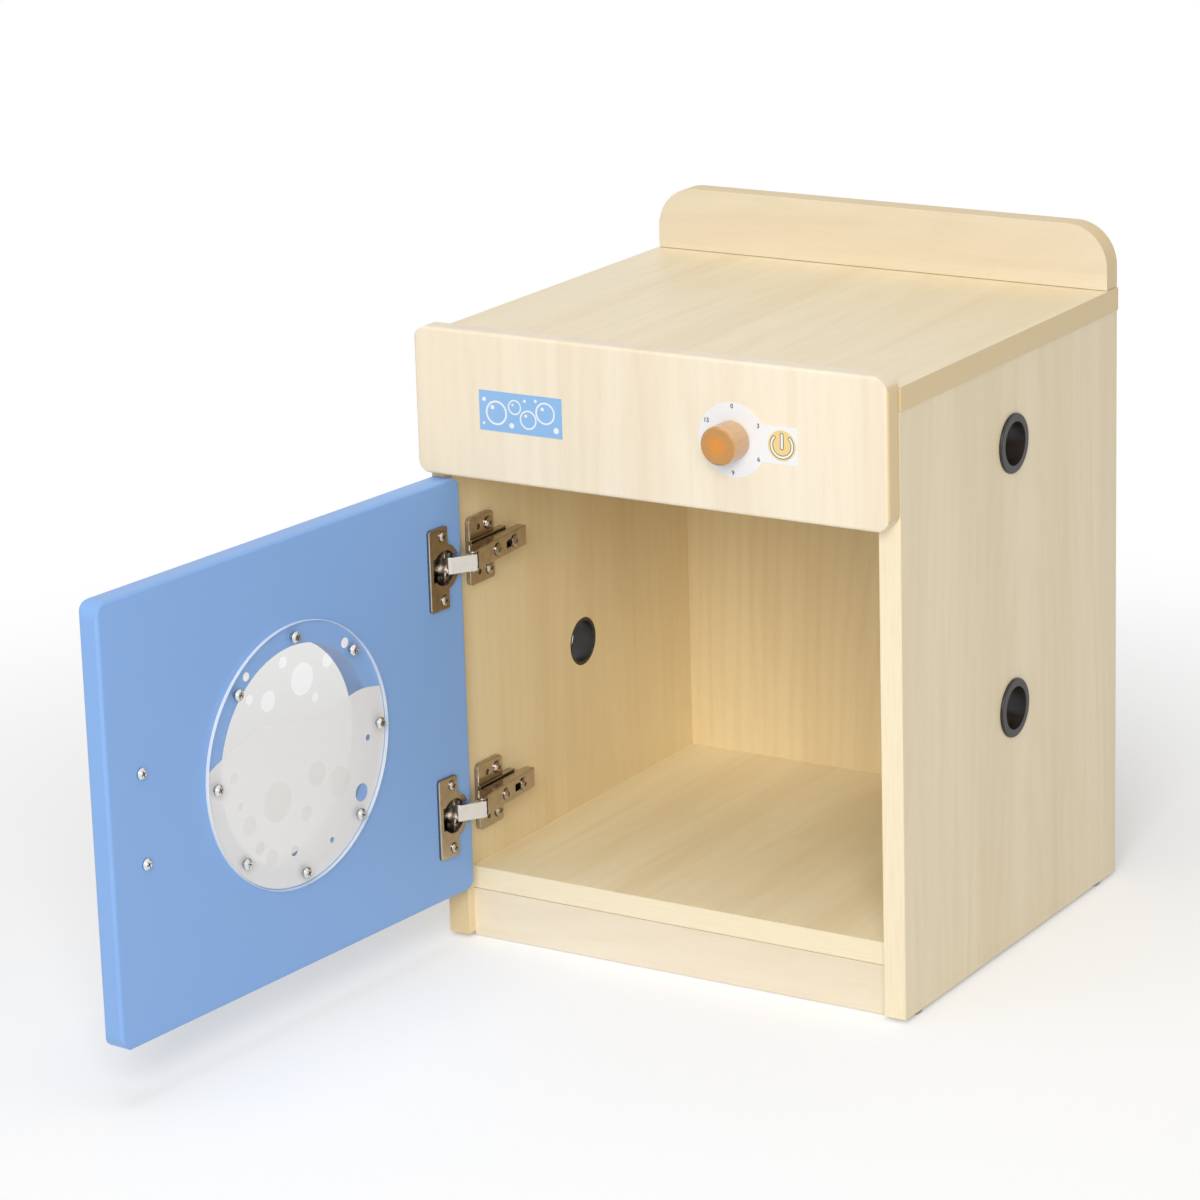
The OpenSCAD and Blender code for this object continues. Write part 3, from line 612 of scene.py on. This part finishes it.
class WASHING_OT_window(bpy.types.Operator):
    """Makes the clear window sheet and lays the printed foam and bubbles on its back"""
    bl_idname = "washing.window"
    bl_label = "Make the window"

    RADIUS, FOAM_RADIUS, OPENING_RADIUS = 90 * MM, 88.6 * MM, 74.4 * MM
    HALF_THICKNESS, CHAMFER, GLUE = 1.5 * MM, 0.4 * MM, 0.12 * MM
    # Depth of the prints and of the grey ground behind them, from the middle of the sheet
    PRINT_DEPTH, GROUND_DEPTH = 1.2 * MM, 1.3 * MM
    # Across, up and radius in mm: holes in the foam, bubbles, and the clear bubbles in the grey ground
    HOLES = ((41, -52, 4.6), (-71, -8, 2.2), (-62, -44, 6.2), (58, -18, 2.6), (8, -64, 3.4), (-30, -68, 2.0))
    WARM = ((22, -26, 13.5), (-18, -18, 8.5), (50, -34, 6.5), (-6, -42, 5.0), (-40, -30, 10.5),
            (30, -62, 5.5), (62, 2, 4.0))
    LIGHT = ((46, 66, 3.0), (-52, 63, 3.6))
    CLEAR = ((-8, 50, 11.0), (26, 44, 7.0), (10, 66, 4.0), (-34, 56, 5.0), (-20, 34, 3.2), (44, 50, 3.4))

    def execute(self, context):
        low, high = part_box("window_pane")
        centre = (low + high) / 2
        sheet = self.sheet(centre, self.clear_sheet(centre))
        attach(sheet, "door")
        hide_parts("window_pane")
        look = settings("prints")
        film, ground = (plane(centre - DOOR_W * depth, DOOR_U, UP)
                        for depth in (self.PRINT_DEPTH, self.GROUND_DEPTH))
        # Each print: its outlines, thickness in mm, place, and its ink with roughness and cover. The grey
        # ground ends at the door's opening, and clear bubbles are left in it.
        for name, outlines, thickness, place, ink in (
                ("window_foam", [self.wave(self.FOAM_RADIUS)] + bubbles(self.HOLES, 40), 0.1, film,
                 printed("white screen print", look.foam, 0.3, 0.7)),
                ("window_warm_bubbles", bubbles(self.WARM), 0.14, film,
                 printed("warm screen print", look.bubble, 0.3, 0.16)),
                ("window_light_bubbles", bubbles(self.LIGHT), 0.1, film,
                 printed("light screen print", look.bubble_light, 0.3)),
                ("window_smoke", [circle(self.OPENING_RADIUS, count=128)] + bubbles(self.CLEAR), 0.06, ground,
                 printed("smoke grey screen print", look.smoke, 0.4, 0.08))):
            flat_piece(name, outlines, thickness * MM, place, ink, "door")
        return {"FINISHED"}

    def sheet(self, centre, material):
        """The round sheet: centre + r (cos t u + sin t up) + d out, for each profile point (r, d).

        The profile goes from the back's edge over two small chamfers to the front's edge, and a fan of
        triangles closes each face. The back stays clear of the door by the thickness of the glue.
        """
        radius, inner = self.RADIUS, self.RADIUS - self.CHAMFER
        back, front = self.GLUE - self.HALF_THICKNESS, self.HALF_THICKNESS
        profile = np.array([(inner, back), (radius, back + self.CHAMFER), (radius, front - self.CHAMFER),
                            (inner, front)])
        rows, count = len(profile), 160
        t = np.linspace(0, 2 * math.pi, count, endpoint=False)
        u, up, out = (np.array(v) for v in (DOOR_U, UP, DOOR_W))
        round_about = np.cos(t)[None, :, None] * u + np.sin(t)[None, :, None] * up
        grid = profile[:, 0, None, None] * round_about + profile[:, 1, None, None] * out
        points = np.concatenate([grid.reshape(-1, 3), [back * out, front * out]]) + np.array(centre)
        index = np.arange(rows * count).reshape(rows, count)
        after = np.roll(index, -1, axis=1)
        walls = np.stack([index[:-1], index[1:], after[1:], after[:-1]], -1).reshape(-1, 4)
        mesh = bpy.data.meshes.new("window_sheet")
        back_fan = [(rows * count, int(a), int(b)) for a, b in zip(index[0], after[0])]
        front_fan = [(rows * count + 1, int(b), int(a)) for a, b in zip(index[-1], after[-1])]
        mesh.from_pydata(points.tolist(), [], walls.tolist() + back_fan + front_fan)
        mesh.materials.append(material)
        piece = bpy.data.objects.new("window_sheet", mesh)
        bpy.context.collection.objects.link(piece)
        return piece

    def wave(self, radius, count=72):
        """Outline of the foam: the lower part of a circle, closed by a slow wave across it.

        Along the top, for s from 0 to 1, the height above the straight line between the arc's ends is
        sin(pi s) (9 + 7 sin(2.2 pi s + 0.4) + 1.6 sin(7 pi s)) mm, so that both ends meet the circle.
        """
        ends = (math.radians(8), math.radians(164))
        rim = np.linspace(ends[1], 2 * math.pi + ends[0], 2 * count)
        arc = radius * np.stack([np.cos(rim), np.sin(rim)], 1)
        first, last = arc[-1], arc[0]
        s = np.linspace(0, 1, count)[1:-1]
        top = first + s[:, None] * (last - first)
        top[:, 1] += np.sin(math.pi * s) * (9 * MM + 7 * MM * np.sin(2.2 * math.pi * s + 0.4)
                                            + 1.6 * MM * np.sin(7 * math.pi * s))
        return np.concatenate([arc, top])

    def clear_sheet(self, centre):
        """Clear acrylic: nearly invisible face on; its polished rim is painted nearly white and nearly
        opaque, a painted glow for the light that the sheet carries to its cut edge.
        """
        look = settings("plastic")
        material, tree, shader, where = start("clear acrylic sheet")
        from_centre = add(tree, "Mapping", {"Vector": where, "Location": -centre}).outputs[0]
        radius = add(tree, "VectorMath", {0: from_centre}, operation="LENGTH").outputs["Value"]
        # Painted glow: the outer half millimetre is painted the near white rim colour and made nearly opaque,
        # for the light piped to the cut edge
        rim = span(tree, radius, self.RADIUS - 0.5 * MM, self.RADIUS - 0.2 * MM)
        feed(tree, shader, Base_Color=blend(tree, rim, rgba(look.pane), rgba(look.rim)), Roughness=0.06,
             IOR=1.49, Alpha=span(tree, rim, 0, 1, 0.02, 0.7))
        return material


class WASHING_OT_drawer_label(bpy.types.Operator):
    """Prints the blue drawer label with plain white bubbles"""
    bl_idname = "washing.drawer_label"
    bl_label = "Make the drawer label"

    # Across, up, radius and line width in mm; the dots inside the rings are their gleams
    RINGS = ((-19, -1, 8.4, 1.3), (-4.5, 4.2, 5.2, 1.0), (6, -3.4, 6.6, 1.1), (19.5, 2.4, 7.6, 1.2))
    DOTS = ((-28.5, 7.6, 1.5), (-7.2, -8.6, 1.9), (12.2, 10.2, 1.1), (27.8, -8.4, 2.1), (3.6, 9.3, 1.1),
            (-22, 2.6, 1.5), (-6, 5.8, 0.9), (4.2, -0.8, 1.1), (17.3, 5.2, 1.3), (-29.2, -8.8, 1.0))

    def execute(self, context):
        look = settings("prints")
        wear(printed("light blue vinyl", look.label_blue), "drawer_print")
        low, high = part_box("drawer_print")
        middle = Vector(((low.x + high.x) / 2, low.y, (low.z + high.z) / 2))
        outlines = []
        for u, v, r, line in self.RINGS:
            outlines += bubbles(((u, v, r), (u, v, r - line)), 72)
        outlines += bubbles(self.DOTS, 32)
        flat_piece("drawer_label_bubbles", outlines, 0.06 * MM, plane(middle, RIGHT, UP),
                   printed("white vinyl print", look.label_white), "cabinet")
        return {"FINISHED"}


class WASHING_OT_dial(bpy.types.Operator):
    """Prints the dial label: numbers in steps of three and the power sign on its yellow spot"""
    bl_idname = "washing.dial"
    bl_label = "Make the dial label"

    # How tall a digit of the built in face is, as a share of the type size
    DIGIT_SHARE = 0.73

    def execute(self, context):
        look = settings("prints")
        wear(printed("white vinyl label", look.label_white, 0.3), "dial_print")
        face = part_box("dial_print")[0].y
        low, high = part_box("knob")
        axis = Vector(((low.x + high.x) / 2, face, (low.z + high.z) / 2))
        ink = printed("dark grey ink", look.ink)
        for step, text in enumerate(("0", "3", "6", "9", "12", "15")):
            turn = math.radians(60 * step)
            spot = axis + look.number_radius * (RIGHT * math.sin(turn) + UP * math.cos(turn))
            self.number(text, look.number_height, plane(spot, RIGHT, UP), ink)
        spot = plane(axis + RIGHT * look.spot_offset, RIGHT, UP)
        # The inks lie over each other, each 0.02 mm higher than the one below
        for name, outlines, height, material in (
                ("power_spot", [circle(look.spot_radius, count=96)], 0.03,
                 printed("yellow ink", look.yellow)),
                ("power_outline", self.sign(look.sign_radius, 0.5 * MM), 0.05,
                 printed("brown outline ink", look.outline)),
                ("power_sign", self.sign(look.sign_radius, 0), 0.07,
                 printed("white ink", look.label_white))):
            flat_piece(name, outlines, 2 * height * MM, spot, material, "cabinet")
        return {"FINISHED"}

    def sign(self, radius, margin):
        """The power sign's bow and bar, wider by margin all round; the bow is open by 48 degrees a side."""
        return [bow(radius, 0.75 * MM + margin, math.radians(48)),
                bar(0.85 * MM + margin, -2.4 * MM - margin, 8.1 * MM + margin)]

    def number(self, text, height, place, material):
        """A plain number as a thin mesh, centred on its place."""
        curve = bpy.data.curves.new("number_" + text, "FONT")
        curve.body = text
        curve.size = height / self.DIGIT_SHARE
        curve.extrude = 0.03 * MM
        # Set a little bold
        curve.offset = 0.09 * MM
        curve.align_x = "CENTER"
        curve.align_y = "CENTER"
        settle(curve, "number_" + text, place, material, "cabinet")


class WASHING_OT_studio(bpy.types.Operator):
    """Sets up the pale floor, the soft lights and the camera"""
    bl_idname = "washing.studio"
    bl_label = "Set up the studio"

    # Beside the machine the paper's own glow, and the share of the lamps' light that it throws back
    NEAR_GLOW, NEAR_SHARE = 0.23, 0.82

    def execute(self, context):
        look = settings("studio")
        self.floor(look)
        self.room(look)
        self.softbox("front_softbox", look.front, 2.1, (1.725, -3.45, 2.1))
        self.softbox("top_softbox", look.top, 1.6, (-0.1, -0.5, 2.7))
        self.camera(context)
        context.scene.view_settings.view_transform = "Standard"
        return {"FINISHED"}

    def backdrop_rays(self, tree):
        """1 for the rays that should see the plain white backdrop: camera, glossy and transmission."""
        path = add(tree, "LightPath")
        both = maths(tree, "MAXIMUM", path.outputs["Is Camera Ray"], path.outputs["Is Glossy Ray"])
        return maths(tree, "MAXIMUM", both, path.outputs["Is Transmission Ray"])

    def floor(self, look):
        half = look.floor_size / 2
        mesh = bpy.data.meshes.new("studio_floor")
        mesh.from_pydata([(-half, -half, 0), (half, -half, 0), (half, half, 0), (-half, half, 0)], [],
                         [(0, 1, 2, 3)])
        floor = bpy.data.objects.new("studio_floor", mesh)
        bpy.context.collection.objects.link(floor)
        material, tree, shader, where = start("white paper sweep")
        # Seen directly, the paper keeps its soft shadow near the object and glows to white further out
        away = add(tree, "VectorMath", {0: where}, operation="LENGTH").outputs["Value"]
        reach = (look.shadow_reach, look.white_reach)
        glow = add(tree, "Emission", {"Color": (1, 1, 1, 1),
                                      "Strength": span(tree, away, *reach, self.NEAR_GLOW, 1.0, True)})
        near = span(tree, away, *reach, self.NEAR_SHARE, 0.0, True)
        faint = add(tree, "BsdfDiffuse", {"Color": blend(tree, near, (0, 0, 0, 1), (1, 1, 1, 1))})
        seen = add(tree, "AddShader", {0: glow.outputs[0], 1: faint.outputs[0]})
        paper = add(tree, "BsdfDiffuse", {"Color": (0.84, 0.84, 0.84, 1)})
        mixed = add(tree, "MixShader", {0: self.backdrop_rays(tree), 1: paper.outputs[0], 2: seen.outputs[0]})
        tree.links.new(mixed.outputs[0], tree.nodes["Material Output"].inputs["Surface"])
        mesh.materials.append(material)

    def room(self, look):
        world = bpy.data.worlds.new("white studio room")
        world.use_nodes = True
        tree = world.node_tree
        room = tree.nodes["Background"]
        room.inputs["Color"].default_value = (1, 1, 1, 1)
        room.inputs["Strength"].default_value = look.ambient
        seen = add(tree, "Background", {"Color": (1, 1, 1, 1), "Strength": 1.0})
        mixed = add(tree, "MixShader", {0: self.backdrop_rays(tree), 1: room.outputs[0], 2: seen.outputs[0]})
        tree.links.new(mixed.outputs[0], tree.nodes["World Output"].inputs["Surface"])
        bpy.context.scene.world = world

    def softbox(self, name, power, size, position):
        """A square area lamp of the given edge in metres, turned to the machine."""
        light = bpy.data.lights.new(name, "AREA")
        light.energy = power
        light.shape = "RECTANGLE"
        light.size = light.size_y = size
        lamp = bpy.data.objects.new(name, light)
        bpy.context.collection.objects.link(lamp)
        lamp.location = position
        lamp.rotation_euler = (MIDDLE - Vector(position)).to_track_quat("-Z", "Y").to_euler()

    def camera(self, context):
        """The photograph's viewpoint, as found from the carcass corners, the door and the screws.

        right, down and ahead are the picture's own directions in the row frame.
        """
        data = bpy.data.cameras.new("studio_camera")
        data.sensor_width = 36
        data.lens = 129.751
        data.shift_x = -0.05
        data.shift_y = -0.0667
        data.clip_end = 100
        camera = bpy.data.objects.new("studio_camera", data)
        context.collection.objects.link(camera)
        right = Vector((0.85685302, 0.51495257, -0.02503479))
        down = Vector((0.11686538, -0.24129351, -0.96338981))
        ahead = Vector((-0.5021408, 0.82255777, -0.2669332))
        matrix = Matrix((right, -down, -ahead)).transposed().to_4x4()
        matrix.translation = Vector((1.45245974, -2.32632901, 1.08398416))
        camera.matrix_world = matrix
        context.scene.camera = camera


class WASHING_PT_panel(bpy.types.Panel):
    """Lists the steps that dress the washing machine"""
    bl_idname = "WASHING_PT_panel"
    bl_label = "Washing machine"
    bl_space_type = "VIEW_3D"
    bl_region_type = "UI"
    bl_category = "Washing machine"

    def draw(self, context):
        for step in STEPS:
            self.layout.operator("washing." + step)


GROUPS = {"boards": BoardFinish, "metal": MetalFinish, "plastic": PlasticFinish, "wood": WoodFinish,
          "prints": PrintFinish, "studio": StudioSettings}
STEPS = ("boards", "door", "hinges", "mouldings", "turnings", "window", "drawer_label", "dial", "studio")
CLASSES = (*GROUPS.values(), WASHING_OT_boards, WASHING_OT_door, WASHING_OT_hinges, WASHING_OT_mouldings,
           WASHING_OT_turnings, WASHING_OT_window, WASHING_OT_drawer_label, WASHING_OT_dial,
           WASHING_OT_studio, WASHING_PT_panel)


def register():
    for cls in CLASSES:
        bpy.utils.register_class(cls)
    for name, group in GROUPS.items():
        setattr(bpy.types.Scene, "washing_" + name, bpy.props.PointerProperty(type=group))


def unregister():
    for name in GROUPS:
        delattr(bpy.types.Scene, "washing_" + name)
    for cls in reversed(CLASSES):
        bpy.utils.unregister_class(cls)


def main():
    register()
    for step in STEPS:
        getattr(bpy.ops.washing, step)()


if __name__ == "__main__":
    main()
